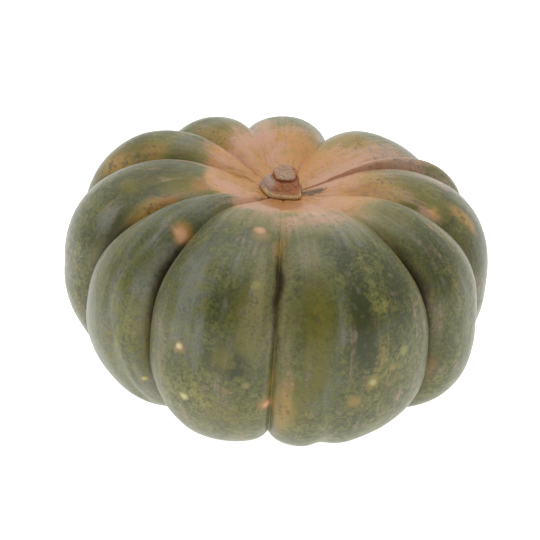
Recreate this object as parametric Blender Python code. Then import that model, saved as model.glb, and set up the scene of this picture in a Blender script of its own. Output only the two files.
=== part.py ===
"""A winter squash: one flattened fruit with eleven deep ribs, and the stub of its stem.

Metres, +Z up. The fruit stands at z = 0 on the flats of its lowest ribs, with the middle of its
outline over the origin. The shape is worked out round the fruit's own axis, with the widest ring at
height 0, and only then leant over and set down.
"""

import math
from collections import namedtuple

import bmesh
import bpy
import numpy as np
from mathutils import Matrix

MM = 0.001

# Driving dimensions of the fruit, in metres
CREST_RADIUS = 0.130
SHOULDER_RISE = 0.080
BELLY_DROP = 0.082
STEM_HOLLOW_DEPTH = 0.025
STEM_HOLLOW_RADIUS = 0.050
BLOSSOM_HOLLOW_DEPTH = 0.024
BLOSSOM_HOLLOW_RADIUS = 0.040
BLOSSOM_SCAR_RISE = 0.002
BLOSSOM_SCAR_RADIUS = 0.007
CREASE_DEPTH = 0.010
CREASE_FADE_RADIUS = 0.075
CLEFT_DEPTH = 0.0045
CLEFT_WIDTH = 0.003
CLEFT_NONE_WITHIN = 0.045
CLEFT_FULL_BEYOND = 0.110
SEAT_RADIUS = 0.0165

# How square the profile is: 1 would be round, less is boxier
ROUNDNESS_OUT = 0.78
ROUNDNESS_UP = 0.67
ROUNDNESS_DOWN = 0.98
CREASE_FADE_POWER = 1.6
RIB_ROUNDNESS = 2.1
SWELL_ROUNDNESS = 1.5

# Where a rib's foot swells: the share of the way down the rib, and its spread
FOOT_PLACE = 0.68
FOOT_SPREAD = 0.14

# The shallow furrow down the front rib on the right: across the rib (-1 to 1), its size, and the
# shares of the way down between which it deepens and fades again
FURROW_RIB = 0
FURROW_ACROSS = -0.31
FURROW_WIDTH = 0.16
FURROW_DEPTH = 0.0025
FURROW_DEEPENS = (0.35, 0.60)
FURROW_FADES = (0.80, 0.95)

# How the fruit has slumped: slopes of its axis, and the heights between which the slump fades out
LEAN_X = math.radians(4.8)
LEAN_Y = math.radians(1.5)
LEAN_NONE_BELOW = -0.080
LEAN_FULL_ABOVE = -0.020

# The height of the surface it stands on, under the widest ring, and how softly the ribs flatten there
STANDING_DROP = 0.0727
FLATTENING = 0.0006

# Ribs counter-clockwise from the front, seen from above. Each gives its first crease: the direction
# round the axis and the slant from stem to blossom end, in degrees, and the depth against an even
# crease. Then how far the rib swells out beyond an even one, and its foot too, in millimetres.
Rib = namedtuple("Rib", "turn slant depth swell foot")
RIBS = (
    Rib(-91.0, 4.0, 0.5, 0.0, 4.0),
    Rib(-43.5, 20.0, 0.7, 1.0, 6.0),
    Rib(-17.0, 8.0, 0.9, 1.0, 0.0),
    Rib(17.0, -4.0, 0.8, 2.0, 0.0),
    Rib(35.0, 32.0, 0.6, 1.0, 0.0),
    Rib(74.0, 14.0, 1.6, -1.0, 0.0),
    Rib(103.0, -10.0, 1.1, 0.5, 0.0),
    Rib(136.0, 2.0, 1.6, 4.0, 0.0),
    Rib(172.5, 25.0, 1.3, 1.0, -1.0),
    Rib(203.0, -38.0, 0.9, -1.0, -1.0),
    Rib(231.5, -2.0, 1.3, -2.0, 2.0),
)

# Facets of the fruit, and the samples of each half of its profile
FACETS_A_RIB = 10
ROWS = 40
PROFILE_SAMPLES = 2000

# Driving dimensions of the stem, in metres, up its own axis from the seat: (height, radius) pairs
SEAT_GAP = 0.0003
STEM_FOOT = ((0.0, 0.0), (0.0, 0.0125), (0.0008, 0.0142), (0.0024, 0.0146), (0.0038, 0.0130))
STEM_NECK = ((0.0052, 0.0098), (0.0066, 0.0080), (0.0080, 0.0071), (0.0092, 0.0069))
STEM_HEAD = ((0.0101, 0.0073), (0.0109, 0.0074), (0.0115, 0.0069), (0.0115, 0.0035), (0.0115, 0.0))
STEM_FACETS = 40
STEM_LOBES = 5
STEM_LOBE_DEPTH = 0.05
STEM_LOBE_TURN = math.radians(20)

# The cut end slopes down to the front; the slope starts at this height
CUT_SLOPE = math.tan(math.radians(14))
CUT_STARTS = 0.0060

SHARP_ANGLE = math.radians(50)


def material(name, colour, roughness):
    made = bpy.data.materials.new(name)
    made.use_nodes = True
    shader = made.node_tree.nodes["Principled BSDF"]
    shader.inputs["Base Color"].default_value = (*colour, 1.0)
    shader.inputs["Roughness"].default_value = roughness
    shader.inputs["Metallic"].default_value = 0.0
    return made


def crest_line():
    """The line over the top of an even rib, from stem to blossom end.

    Returns the share of its length run, with the radius, height and outward direction there.
    """
    angle = np.linspace(math.pi / 2, -math.pi / 2, 2 * PROFILE_SAMPLES + 1)
    out = np.clip(np.cos(angle), 0, 1)
    up = np.clip(np.sin(angle), 0, 1)
    down = np.clip(-np.sin(angle), 0, 1)
    radius = CREST_RADIUS * out**ROUNDNESS_OUT
    height = SHOULDER_RISE * up**ROUNDNESS_UP - BELLY_DROP * down**ROUNDNESS_DOWN
    height -= (angle > 0) * STEM_HOLLOW_DEPTH * np.exp(-((radius / STEM_HOLLOW_RADIUS) ** 2))
    hollow = BLOSSOM_HOLLOW_DEPTH * np.exp(-((radius / BLOSSOM_HOLLOW_RADIUS) ** 2))
    scar = BLOSSOM_SCAR_RISE * np.exp(-((radius / BLOSSOM_SCAR_RADIUS) ** 4))
    height += (angle < 0) * (hollow - scar)
    run = np.concatenate([[0], np.cumsum(np.hypot(np.diff(radius), np.diff(height)))])
    run_out, run_up = np.gradient(radius, run), np.gradient(height, run)
    return run / run[-1], radius, height, -run_up, run_out


CREST = crest_line()


def at_crest(down):
    """Radius, height and outward direction of an even crest, a share of the way down it."""
    return [float(np.interp(down, CREST[0], values)) for values in CREST[1:]]


def seat_share():
    """How far down the crest the stem's seat ends."""
    return float(np.interp(SEAT_RADIUS, CREST[1][:PROFILE_SAMPLES], CREST[0][:PROFILE_SAMPLES]))


def smooth_step(value, start, end):
    """0 up to the start, 1 from the end on, and a smooth rise between them."""
    share = min(max((value - start) / (end - start), 0.0), 1.0)
    return share * share * (3 - 2 * share)


def next_rib(rib):
    """The rib whose first crease ends this one."""
    return RIBS[(rib + 1) % len(RIBS)]


def crease_depth(rib, across, radius):
    """How deep the valley and the narrow cleft at a rib's nearer crease are at this place."""
    this, following = RIBS[rib], next_rib(rib)
    half_width = math.radians((following.turn - this.turn) % 360) / 2 * max(radius, MM)
    fade = 1 - math.exp(-((radius / CREASE_FADE_RADIUS) ** CREASE_FADE_POWER))
    valley = CREASE_DEPTH * fade * (this.depth if across < 0 else following.depth)
    cleft = CLEFT_DEPTH * math.exp(-(1 - abs(across)) * half_width / CLEFT_WIDTH)
    cleft *= smooth_step(radius, CLEFT_NONE_WITHIN, CLEFT_FULL_BEYOND)
    return valley * abs(across) ** RIB_ROUNDNESS + cleft


def rib_swell(rib, across, down):
    """How far a rib stands out beyond an even one."""
    rise = RIBS[rib].swell * MM * math.sin(math.pi * down) ** 2
    rise += RIBS[rib].foot * MM * math.exp(-(((down - FOOT_PLACE) / FOOT_SPREAD) ** 2))
    return rise * (1 - abs(across) ** (RIB_ROUNDNESS * SWELL_ROUNDNESS))


def furrow_depth(rib, across, down):
    if rib != FURROW_RIB:
        return 0.0
    along = smooth_step(down, *FURROW_DEEPENS) * (1 - smooth_step(down, *FURROW_FADES))
    return FURROW_DEPTH * along * math.exp(-(((across - FURROW_ACROSS) / FURROW_WIDTH) ** 2))


def skin_point(rib, across, down):
    """A point of the skin round the fruit's own axis: rib, place across it, share of the way down."""
    radius, height, out, up = at_crest(down)
    this, following = RIBS[rib], next_rib(rib)
    first = this.turn + this.slant * (down - 0.5)
    last = following.turn + following.slant * (down - 0.5)
    last += 360 if following.turn < this.turn else 0
    turn = math.radians(first + (last - first) * (across + 1) / 2)
    relief = crease_depth(rib, across, radius) + furrow_depth(rib, across, down)
    relief -= rib_swell(rib, across, down)
    radius -= out * relief
    height -= up * relief
    return radius * math.cos(turn), radius * math.sin(turn), height


def lean(x, y, z):
    """The point once the fruit has slumped to its side and been set on a level surface."""
    share = smooth_step(z, LEAN_NONE_BELOW, LEAN_FULL_ABOVE)
    return x + LEAN_X * z, y + LEAN_Y * z, z - (LEAN_X * x + LEAN_Y * y) * share + STANDING_DROP


def flatten(height):
    """The ribs' undersides pressed to the surface they stand on, with a soft start."""
    if height <= -FLATTENING:
        return 0.0
    if height >= FLATTENING:
        return height
    return (height + FLATTENING) ** 2 / (4 * FLATTENING)


def row_shares():
    """How far down the crest each row of the fruit lies: the seat's edge first, then even steps."""
    seat = seat_share()
    steps = ROWS - 1
    return [0.0] + [seat + (1 - seat) * step / steps for step in range(steps)] + [1.0]


def sphere_row(height, rows):
    """Which row of a sphere of radius 1 lies at this height, counted from the top."""
    return round(math.acos(min(max(height, -1.0), 1.0)) / math.pi * rows)


def squash_fruit(collection, skin):
    bm = bmesh.new()
    columns = FACETS_A_RIB * len(RIBS)
    # The sphere's first column points along +Y, and its rows are counted from the stem end
    bmesh.ops.create_uvsphere(bm, u_segments=columns, v_segments=ROWS, radius=1.0)
    shares = row_shares()
    seat_height = at_crest(shares[1])[1]
    for vertex in bm.verts:
        column = round(math.atan2(-vertex.co.x, vertex.co.y) / math.tau * columns) % columns
        row = sphere_row(vertex.co.z, ROWS)
        step = 2 * (column % FACETS_A_RIB) / FACETS_A_RIB - 1
        # Columns draw closer towards the creases
        across = math.sin(step * math.pi / 2)
        x, y, z = skin_point(column // FACETS_A_RIB, across, shares[row])
        on_seat = row <= 1
        x, y, z = lean(x, y, seat_height if on_seat else z)
        vertex.co = x, y, flatten(z)
    return add_object("fruit", bm, collection, skin)


def stem_stub(collection, bark):
    profile = STEM_FOOT + STEM_NECK + STEM_HEAD
    rows = len(profile) - 1
    top = profile[-1][0]
    seat_height = at_crest(seat_share())[1]
    bm = bmesh.new()
    bmesh.ops.create_uvsphere(bm, u_segments=STEM_FACETS, v_segments=rows, radius=1.0)
    for vertex in bm.verts:
        turn = math.atan2(vertex.co.y, vertex.co.x)
        # The profile runs up the stem, so its rows are counted from the bottom
        height, radius = profile[rows - sphere_row(vertex.co.z, rows)]
        radius *= 1 + STEM_LOBE_DEPTH * math.cos(STEM_LOBES * (turn - STEM_LOBE_TURN))
        x, y = radius * math.cos(turn), radius * math.sin(turn)
        height += CUT_SLOPE * y * smooth_step(height, CUT_STARTS, top)
        vertex.co = lean(x, y, seat_height + SEAT_GAP + height)
    return add_object("stem", bm, collection, bark)


def add_object(name, bm, collection, finish):
    bmesh.ops.triangulate(bm, faces=bm.faces)
    bmesh.ops.recalc_face_normals(bm, faces=bm.faces)
    mesh = bpy.data.meshes.new(name)
    bm.to_mesh(mesh)
    bm.free()
    mesh.materials.append(finish)
    mesh.shade_smooth()
    mesh.set_sharp_from_angle(angle=SHARP_ANGLE)
    made = bpy.data.objects.new(name, mesh)
    collection.objects.link(made)
    return made


def centre(objects):
    """Moves all meshes so that the middle of the fruit's outline is over the origin."""
    corners = [vertex.co for made in objects for vertex in made.data.vertices]
    middle_x = (min(co.x for co in corners) + max(co.x for co in corners)) / 2
    middle_y = (min(co.y for co in corners) + max(co.y for co in corners)) / 2
    for made in objects:
        made.data.transform(Matrix.Translation((-middle_x, -middle_y, 0)))


def main():
    for old in list(bpy.data.objects):
        bpy.data.objects.remove(old)
    collection = bpy.data.collections.new("Winter squash")
    bpy.context.scene.collection.children.link(collection)
    skin = material("Squash skin", (0.13, 0.14, 0.07), 0.42)
    bark = material("Dry stem", (0.36, 0.24, 0.15), 0.80)
    centre([squash_fruit(collection, skin), stem_stub(collection, bark)])


main()
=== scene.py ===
"""The looks of a winter squash: its mottled waxy skin, its corky stem, and the studio it stands in.

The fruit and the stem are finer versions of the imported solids, made by the same rules: a sphere
whose points are moved by a formula. Lengths are metres, +Z is up, -Y faces the camera.
"""

import math
from collections import namedtuple

import bmesh
import bpy
import numpy as np
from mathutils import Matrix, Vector, noise


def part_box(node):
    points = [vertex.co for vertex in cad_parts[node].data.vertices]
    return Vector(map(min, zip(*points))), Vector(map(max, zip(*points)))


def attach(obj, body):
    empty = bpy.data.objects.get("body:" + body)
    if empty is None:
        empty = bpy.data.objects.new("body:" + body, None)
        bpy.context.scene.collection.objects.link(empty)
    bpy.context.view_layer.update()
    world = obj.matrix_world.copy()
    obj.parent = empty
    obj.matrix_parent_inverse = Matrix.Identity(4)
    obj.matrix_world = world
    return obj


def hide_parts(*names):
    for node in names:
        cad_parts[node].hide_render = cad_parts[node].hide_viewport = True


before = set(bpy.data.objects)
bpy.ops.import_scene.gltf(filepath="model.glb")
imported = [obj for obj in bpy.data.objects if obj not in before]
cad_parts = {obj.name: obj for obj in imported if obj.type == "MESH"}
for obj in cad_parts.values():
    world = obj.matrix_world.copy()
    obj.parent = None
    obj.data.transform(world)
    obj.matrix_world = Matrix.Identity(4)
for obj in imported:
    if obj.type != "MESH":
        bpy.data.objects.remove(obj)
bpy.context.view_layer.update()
FRUIT_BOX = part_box("fruit")

bl_info = {
    "name": "Winter Squash",
    "version": (1, 0, 0),
    "blender": (4, 5, 0),
    "location": "3D View > Sidebar > Squash",
    "description": "Builds a ribbed winter squash with its stem, and a plain studio for it",
    "category": "Add Mesh",
}

MM = 0.001
PHOTO_PIXELS = 540

# Ribs counter-clockwise from the front, seen from above. Each gives its first crease: the direction
# round the axis and the slant from stem to blossom end, in degrees, and the depth against an even
# crease. Then how far the rib swells out, and its foot too, in millimetres. Then how far down the rib
# the ripe colour reaches from the stem, and how softly it ends there, as shares of its length. Last,
# how much bloom the rib carries.
Rib = namedtuple("Rib", "turn slant depth swell foot ripe_reach ripe_edge bloom")
RIBS = (
    Rib(-91.0, 4.0, 0.5, 0.0, 4.0, 0.175, 0.090, 0.05),
    Rib(-43.5, 20.0, 0.7, 1.0, 6.0, 0.190, 0.075, 0.10),
    Rib(-17.0, 8.0, 0.9, 1.0, 0.0, 0.155, 0.060, 0.05),
    # This rib's bloom is partly painted reflection on the pale rim of its crest
    Rib(17.0, -4.0, 0.8, 2.0, 0.0, 0.190, 0.060, 0.35),
    Rib(35.0, 32.0, 0.6, 1.0, 0.0, 0.170, 0.055, 0.05),
    Rib(74.0, 14.0, 1.6, -1.0, 0.0, 0.190, 0.045, 0.10),
    Rib(103.0, -10.0, 1.1, 0.5, 0.0, 0.170, 0.035, 0.05),
    Rib(136.0, 2.0, 1.6, 4.0, 0.0, 0.165, 0.040, 0.05),
    Rib(172.5, 25.0, 1.3, 1.0, -1.0, 0.150, 0.020, 0.0),
    Rib(203.0, -38.0, 0.9, -1.0, -1.0, 0.135, 0.045, 0.45),
    Rib(231.5, -2.0, 1.3, -2.0, 2.0, 0.165, 0.085, 0.15),
)
(FRONT_RIGHT, RIGHT_1, RIGHT_2, RIGHT_3, BACK_RIGHT, BACK,
 BACK_LEFT, LEFT_3, LEFT_2, LEFT_1, FRONT_LEFT) = range(len(RIBS))

# Soft patches of each tint: rib, place across it (-1 to 1), share of the way down, half width and
# half length in millimetres, and strength
PATCHES = {
    "ripe": (
        (LEFT_2, 0.60, 0.160, 9, 12, 0.55),
        (RIGHT_2, -0.85, 0.268, 5, 5, 0.85),
        (RIGHT_1, -0.30, 0.20, 16, 16, 0.15),
        (BACK_LEFT, -0.80, 0.20, 6, 16, 0.5),
        (BACK, 0.75, 0.21, 8, 20, 0.6),
        (BACK, -0.80, 0.21, 6, 20, 0.55),
    ),
    "ochre": (
        (LEFT_2, 0.94, 0.27, 6, 20, 1.25),
        (LEFT_2, 0.80, 0.20, 12, 14, 0.5),
        (LEFT_2, -0.50, 0.27, 4, 12, 0.5),
        (LEFT_1, 0.78, 0.268, 6, 9, 0.8),
        (LEFT_1, 1.00, 0.50, 4, 30, 0.55),
        (RIGHT_2, -0.65, 0.185, 12, 18, 1.2),
        (RIGHT_2, -0.10, 0.21, 9, 14, 0.55),
        (RIGHT_2, -0.48, 0.33, 6, 14, 1.4),
        (RIGHT_2, -0.20, 0.165, 14, 14, 0.9),
        (RIGHT_1, -0.95, 0.53, 5, 22, 0.6),
        (LEFT_3, 0.72, 0.335, 10, 18, 1.3),
        (LEFT_3, 0.75, 0.25, 10, 20, 0.9),
        (BACK_LEFT, 0.80, 0.21, 8, 20, 0.95),
        (BACK_LEFT, 0.00, 0.20, 18, 9, 0.5),
        (BACK, 0.00, 0.195, 24, 10, 0.5),
        (BACK_RIGHT, -0.55, 0.20, 18, 18, 1.0),
        (BACK_RIGHT, 0.30, 0.20, 16, 14, 0.55),
        (FRONT_RIGHT, -0.86, 0.56, 7, 28, 0.9),
        (FRONT_RIGHT, -0.12, 0.53, 7, 6, 0.55),
        (FRONT_RIGHT, -1.00, 0.51, 4, 16, 0.8),
        (FRONT_RIGHT, -1.00, 0.255, 5, 15, 0.9),
        (FRONT_RIGHT, 0.30, 0.50, 9, 8, 0.35),
    ),
    "gold": (
        (FRONT_RIGHT, -0.55, 0.42, 8, 38, 1.3),
        (FRONT_RIGHT, -0.72, 0.52, 8, 26, 0.7),
        (FRONT_LEFT, 0.34, 0.465, 8, 7, 1.2),
        (FRONT_LEFT, 0.58, 0.43, 5, 8, 1.0),
        (FRONT_LEFT, 0.45, 0.58, 18, 16, 0.7),
        (FRONT_LEFT, 0.45, 0.37, 4, 18, 0.6),
        (LEFT_1, 0.92, 0.50, 6, 34, 0.8),
        (LEFT_2, 0.55, 0.20, 16, 14, 1.3),
        (LEFT_2, 0.10, 0.24, 16, 12, 0.6),
        (RIGHT_1, -0.55, 0.24, 16, 18, 0.6),
        (RIGHT_2, -0.60, 0.245, 16, 20, 1.3),
        (LEFT_2, 0.30, 0.27, 12, 12, 0.9),
        (BACK_RIGHT, -0.20, 0.195, 20, 12, 0.7),
        (LEFT_3, 0.60, 0.265, 12, 26, 0.8),
        (BACK_LEFT, 0.10, 0.205, 18, 8, 0.5),
        (BACK, 0.00, 0.195, 18, 8, 0.4),
        # Olive-brown skin just below the stem's front lip
        (FRONT_LEFT, 0.90, 0.055, 7, 4, 0.9),
    ),
    "lime": (
        (FRONT_RIGHT, 0.30, 0.38, 9, 10, 0.8),
        (FRONT_RIGHT, 0.22, 0.29, 9, 7, 0.5),
        (FRONT_RIGHT, 0.30, 0.47, 12, 8, 0.5),
        (FRONT_RIGHT, -0.70, 0.53, 9, 24, 0.5),
        (FRONT_LEFT, -0.20, 0.36, 9, 12, 0.45),
        (FRONT_LEFT, 0.65, 0.355, 6, 12, 0.5),
        (FRONT_LEFT, -0.02, 0.555, 20, 14, 0.85),
        (FRONT_LEFT, 0.05, 0.51, 14, 9, 0.6),
        (FRONT_LEFT, 0.50, 0.585, 18, 12, 0.7),
        (LEFT_1, 0.78, 0.475, 10, 26, 0.7),
        (LEFT_1, 0.50, 0.53, 9, 16, 0.6),
        (LEFT_2, 0.35, 0.255, 12, 14, 1.0),
        (LEFT_2, 0.70, 0.46, 8, 30, 0.3),
        (LEFT_3, 0.50, 0.25, 12, 20, 0.9),
        (RIGHT_2, -0.50, 0.255, 12, 16, 1.4),
        (BACK_RIGHT, 0.00, 0.20, 20, 12, 0.9),
        (BACK_LEFT, 0.10, 0.20, 20, 10, 0.9),
        (BACK, 0.00, 0.20, 20, 8, 0.5),
        (RIGHT_1, -0.80, 0.55, 9, 12, 0.4),
    ),
    "tan": (
        (LEFT_3, 0.75, 0.34, 9, 16, 0.7),
        (FRONT_RIGHT, -0.86, 0.41, 6, 34, 0.6),
        (FRONT_RIGHT, -0.62, 0.27, 12, 13, 0.6),
        (FRONT_RIGHT, 0.00, 0.20, 36, 14, 1.1),
        (RIGHT_1, -0.60, 0.19, 14, 12, 0.8),
        (FRONT_LEFT, 0.30, 0.195, 26, 11, 0.7),
        (FRONT_LEFT, 0.72, 0.37, 9, 44, 0.85),
        (FRONT_LEFT, 0.60, 0.27, 12, 14, 0.5),
        (FRONT_LEFT, -0.62, 0.50, 4, 44, 0.7),
        (RIGHT_1, -0.50, 0.245, 16, 22, 0.45),
        (RIGHT_1, 0.45, 0.30, 8, 26, 0.7),
        (RIGHT_2, 0.30, 0.235, 7, 16, 0.8),
        # Tan on this rib's crest, partly painted reflection at its grazing rim
        (RIGHT_3, 0.00, 0.24, 24, 40, 1.0),
        (LEFT_2, -0.20, 0.24, 5, 30, 0.25),
        (LEFT_1, -0.30, 0.36, 4, 40, 0.5),
        (LEFT_1, 0.30, 0.42, 12, 30, 0.35),
        # Paler tan over the back crests: partly the skin's own colour, partly painted reflection of the
        # bright tent at their grazing rims
        (BACK, 0.00, 0.225, 30, 8, 0.8),
        (BACK_LEFT, 0.00, 0.22, 22, 8, 0.6),
        (BACK_RIGHT, 0.00, 0.22, 30, 10, 0.7),
        (LEFT_3, 0.30, 0.22, 20, 8, 0.5),
        (RIGHT_1, -0.20, 0.16, 18, 10, 0.5),
    ),
    "dark": (
        (FRONT_RIGHT, -0.03, 0.385, 6, 20, 1.2),
        (FRONT_RIGHT, -0.03, 0.435, 9, 13, 1.2),
        (FRONT_RIGHT, 0.55, 0.335, 9, 16, 0.7),
        (FRONT_RIGHT, 0.38, 0.42, 8, 10, 0.8),
        (FRONT_RIGHT, -0.35, 0.28, 9, 8, 0.5),
        (FRONT_RIGHT, -0.40, 0.53, 9, 20, 0.3),
        (FRONT_LEFT, 0.52, 0.47, 6, 9, 1.9),
        (FRONT_LEFT, 0.22, 0.36, 9, 24, 0.4),
        (FRONT_LEFT, 0.30, 0.335, 6, 14, 0.2),
        (FRONT_LEFT, -0.42, 0.32, 8, 20, 0.6),
        (FRONT_LEFT, 0.30, 0.465, 11, 9, 0.8),
        (FRONT_LEFT, 0.25, 0.255, 14, 8, 0.35),
        (FRONT_RIGHT, -0.05, 0.28, 16, 12, 0.6),
        (LEFT_2, 0.85, 0.345, 9, 15, 1.0),
        (LEFT_2, 0.20, 0.215, 20, 11, 1.3),
        (LEFT_2, 0.62, 0.235, 10, 9, 0.7),
        (LEFT_2, 0.25, 0.285, 14, 10, 0.7),
        (LEFT_2, 0.35, 0.24, 26, 14, 1.1),
        (FRONT_RIGHT, -0.50, 0.45, 12, 34, 0.4),
        (LEFT_1, 0.70, 0.25, 9, 10, 0.2),
        (LEFT_1, 0.45, 0.30, 10, 12, 0.35),
        (RIGHT_2, -0.70, 0.30, 8, 8, 1.1),
        (RIGHT_2, -0.45, 0.285, 12, 6, 0.9),
        (RIGHT_2, -0.80, 0.235, 8, 5, 1.0),
        (RIGHT_2, -0.85, 0.38, 8, 16, 0.8),
        (RIGHT_2, -0.40, 0.38, 10, 16, 1.1),
        (RIGHT_1, -0.55, 0.33, 16, 26, 0.65),
        (RIGHT_1, -0.60, 0.27, 10, 10, 0.5),
        (RIGHT_1, -0.70, 0.49, 9, 16, 0.5),
        (BACK_LEFT, 0.45, 0.20, 8, 5, 0.3),
        (LEFT_3, 0.55, 0.285, 14, 8, 0.8),
    ),
    # Painted shade: the dark crease colour where the creases lie deepest
    "crease": (
        (FRONT_RIGHT, -1.00, 0.325, 2.6, 18, 0.9),
        (RIGHT_1, -0.96, 0.36, 3, 30, 0.7),
        (LEFT_1, 0.98, 0.35, 2.5, 22, 0.5),
        (LEFT_2, 0.98, 0.37, 3, 20, 0.5),
    ),
    "bloom": (
        (FRONT_LEFT, -0.30, 0.37, 12, 34, 1.0),
        (FRONT_LEFT, -0.08, 0.43, 5, 28, 0.8),
        (FRONT_LEFT, 0.32, 0.31, 5, 12, 0.7),
        (FRONT_LEFT, 0.00, 0.24, 26, 14, 0.35),
        (FRONT_RIGHT, -0.28, 0.40, 4, 26, 0.7),
        (FRONT_RIGHT, 0.30, 0.42, 9, 8, 0.5),
        (FRONT_RIGHT, 0.10, 0.225, 30, 13, 0.7),
        (FRONT_RIGHT, -0.40, 0.52, 9, 16, 0.6),
        (LEFT_1, 0.88, 0.33, 7, 16, 1.0),
        (LEFT_1, 0.80, 0.38, 8, 16, 1.0),
        (LEFT_1, 0.50, 0.20, 14, 14, 0.7),
        (LEFT_1, 0.17, 0.44, 2.2, 34, 1.0),
        (LEFT_1, 0.42, 0.57, 2.4, 26, 1.0),
        (LEFT_1, -0.10, 0.48, 5, 50, 0.5),
        (LEFT_2, 0.70, 0.345, 8, 12, 0.7),
        (RIGHT_1, -0.60, 0.40, 9, 26, 0.35),
        (RIGHT_1, -0.10, 0.42, 4, 40, 0.7),
        (RIGHT_1, 0.00, 0.16, 18, 14, 0.7),
        # Bloom on this rib's crest, partly painted reflection at its grazing rim
        (RIGHT_3, -0.20, 0.26, 20, 34, 0.5),
        (LEFT_3, 0.30, 0.19, 6, 26, 0.7),
        # Bloom over the back crests: partly the wax, partly painted reflection of the bright tent at
        # their grazing rims
        (BACK, 0.00, 0.21, 34, 8, 0.4),
        (BACK_LEFT, 0.00, 0.225, 30, 6, 0.5),
        (BACK_RIGHT, -0.30, 0.225, 30, 6, 0.5),
        (LEFT_2, -0.62, 0.26, 4, 40, 0.7),
        (RIGHT_2, 0.30, 0.25, 5, 34, 0.5),
    ),
    "rose": (
        # Rose on this rib: ripe skin under bloom, partly painted reflection at its grazing rim
        (RIGHT_3, 0.60, 0.12, 10, 34, 1.0),
        (BACK_RIGHT, -0.90, 0.16, 6, 30, 0.8),
        # Rose on this rib's crest, partly painted reflection at its grazing rim
        (RIGHT_3, 0.00, 0.24, 24, 40, 1.1),
        (BACK, -0.10, 0.20, 24, 9, 0.6),
        (LEFT_1, 0.25, 0.115, 18, 12, 0.8),
        (FRONT_LEFT, 0.00, 0.14, 24, 12, 0.6),
        (FRONT_RIGHT, 0.50, 0.12, 16, 14, 0.7),
        (FRONT_RIGHT, 0.00, 0.175, 30, 12, 0.7),
        (BACK, 0.90, 0.16, 9, 30, 0.8),
        (BACK_LEFT, -0.30, 0.14, 18, 14, 0.8),
        (LEFT_2, -0.62, 0.20, 4, 40, 1.0),
        (RIGHT_1, 0.50, 0.27, 4, 26, 0.2),
        (RIGHT_2, -0.95, 0.268, 4, 8, 0.5),
        (RIGHT_2, 0.35, 0.26, 4, 30, 0.6),
    ),
    "rust": (
        (LEFT_2, 0.93, 0.245, 4, 16, 0.9),
        (RIGHT_2, -0.65, 0.175, 12, 14, 0.9),
        # Browner skin just below the stem's front lip, in these three patches
        (FRONT_LEFT, 0.55, 0.075, 6, 9, 1.6),
        (FRONT_RIGHT, -1.00, 0.100, 12, 9, 1.6),
        (FRONT_RIGHT, -0.50, 0.075, 8, 9, 1.5),
        (FRONT_RIGHT, 0.20, 0.458, 1.3, 9, 1.0),
        (FRONT_RIGHT, 0.32, 0.465, 1.3, 8, 1.0),
        (LEFT_2, 0.50, 0.155, 9, 6, 0.6),
        (BACK_LEFT, 0.60, 0.165, 8, 5, 0.6),
    ),
    # Painted shadow: dark lines that run out from the stem's foot
    "tail": (
        (LEFT_2, 0.50, 0.055, 9, 9, 0.6),
        (LEFT_1, 0.45, 0.058, 3, 8, 0.9),
        (RIGHT_2, -0.05, 0.050, 3.5, 8, 2.1),
        (RIGHT_1, 0.60, 0.060, 4, 9, 0.5),
    ),
}
TINTS = tuple(PATCHES)

# Small crisp spots: colour, rib, place across it, share of the way down, radius in millimetres, and
# how strongly they cover the skin
SPOTS = (
    ("#C09048", LEFT_1, 0.80, 0.268, 6.5, 0.75),
    ("#EDB48A", LEFT_1, 0.82, 0.274, 4.0, 0.95),
    ("#A98A5C", FRONT_LEFT, 0.56, 0.235, 5.0, 0.6),
    ("#D8A482", FRONT_LEFT, 0.50, 0.225, 3.0, 0.9),
    ("#A9814C", FRONT_LEFT, -0.29, 0.467, 3.4, 0.8),
    ("#E2CDA0", FRONT_LEFT, -0.30, 0.465, 2.1, 0.95),
    ("#C3B862", LEFT_1, 0.85, 0.605, 1.8, 0.9),
    ("#C9C488", FRONT_LEFT, -0.20, 0.560, 2.4, 0.9),
    ("#B07E44", FRONT_LEFT, 0.95, 0.553, 5.2, 0.8),
    ("#E0AC7E", FRONT_LEFT, 0.95, 0.556, 2.6, 0.95),
    ("#B3AC68", FRONT_RIGHT, 0.45, 0.455, 2.8, 0.5),
    ("#A4904C", FRONT_RIGHT, 0.05, 0.500, 4.4, 0.7),
    ("#CDC493", FRONT_RIGHT, 0.06, 0.500, 1.8, 0.55),
    ("#A08648", FRONT_RIGHT, -0.13, 0.532, 4.4, 0.6),
    ("#9A8448", FRONT_RIGHT, 0.30, 0.480, 2.6, 0.6),
    ("#B0A262", FRONT_LEFT, 0.65, 0.510, 2.2, 0.45),
    ("#A8A058", FRONT_LEFT, 0.66, 0.335, 2.4, 0.6),
)


def linear(hex_colour):
    """An sRGB hex value as the linear colour that Blender's sockets take."""
    shares = [int(hex_colour[place:place + 2], 16) / 255 for place in (1, 3, 5)]
    return [s / 12.92 if s <= 0.04045 else ((s + 0.055) / 1.055) ** 2.4 for s in shares]


def colour_property(name, hex_colour, description):
    return bpy.props.FloatVectorProperty(
        name=name, description=description, subtype="COLOR", size=3, min=0, max=1,
        default=linear(hex_colour))


def length_property(name, default, description):
    return bpy.props.FloatProperty(
        name=name, description=description, default=default, min=0, unit="LENGTH", precision=4)


def angle_property(name, degrees, description):
    return bpy.props.FloatProperty(
        name=name, description=description, default=math.radians(degrees), unit="ROTATION")


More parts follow.
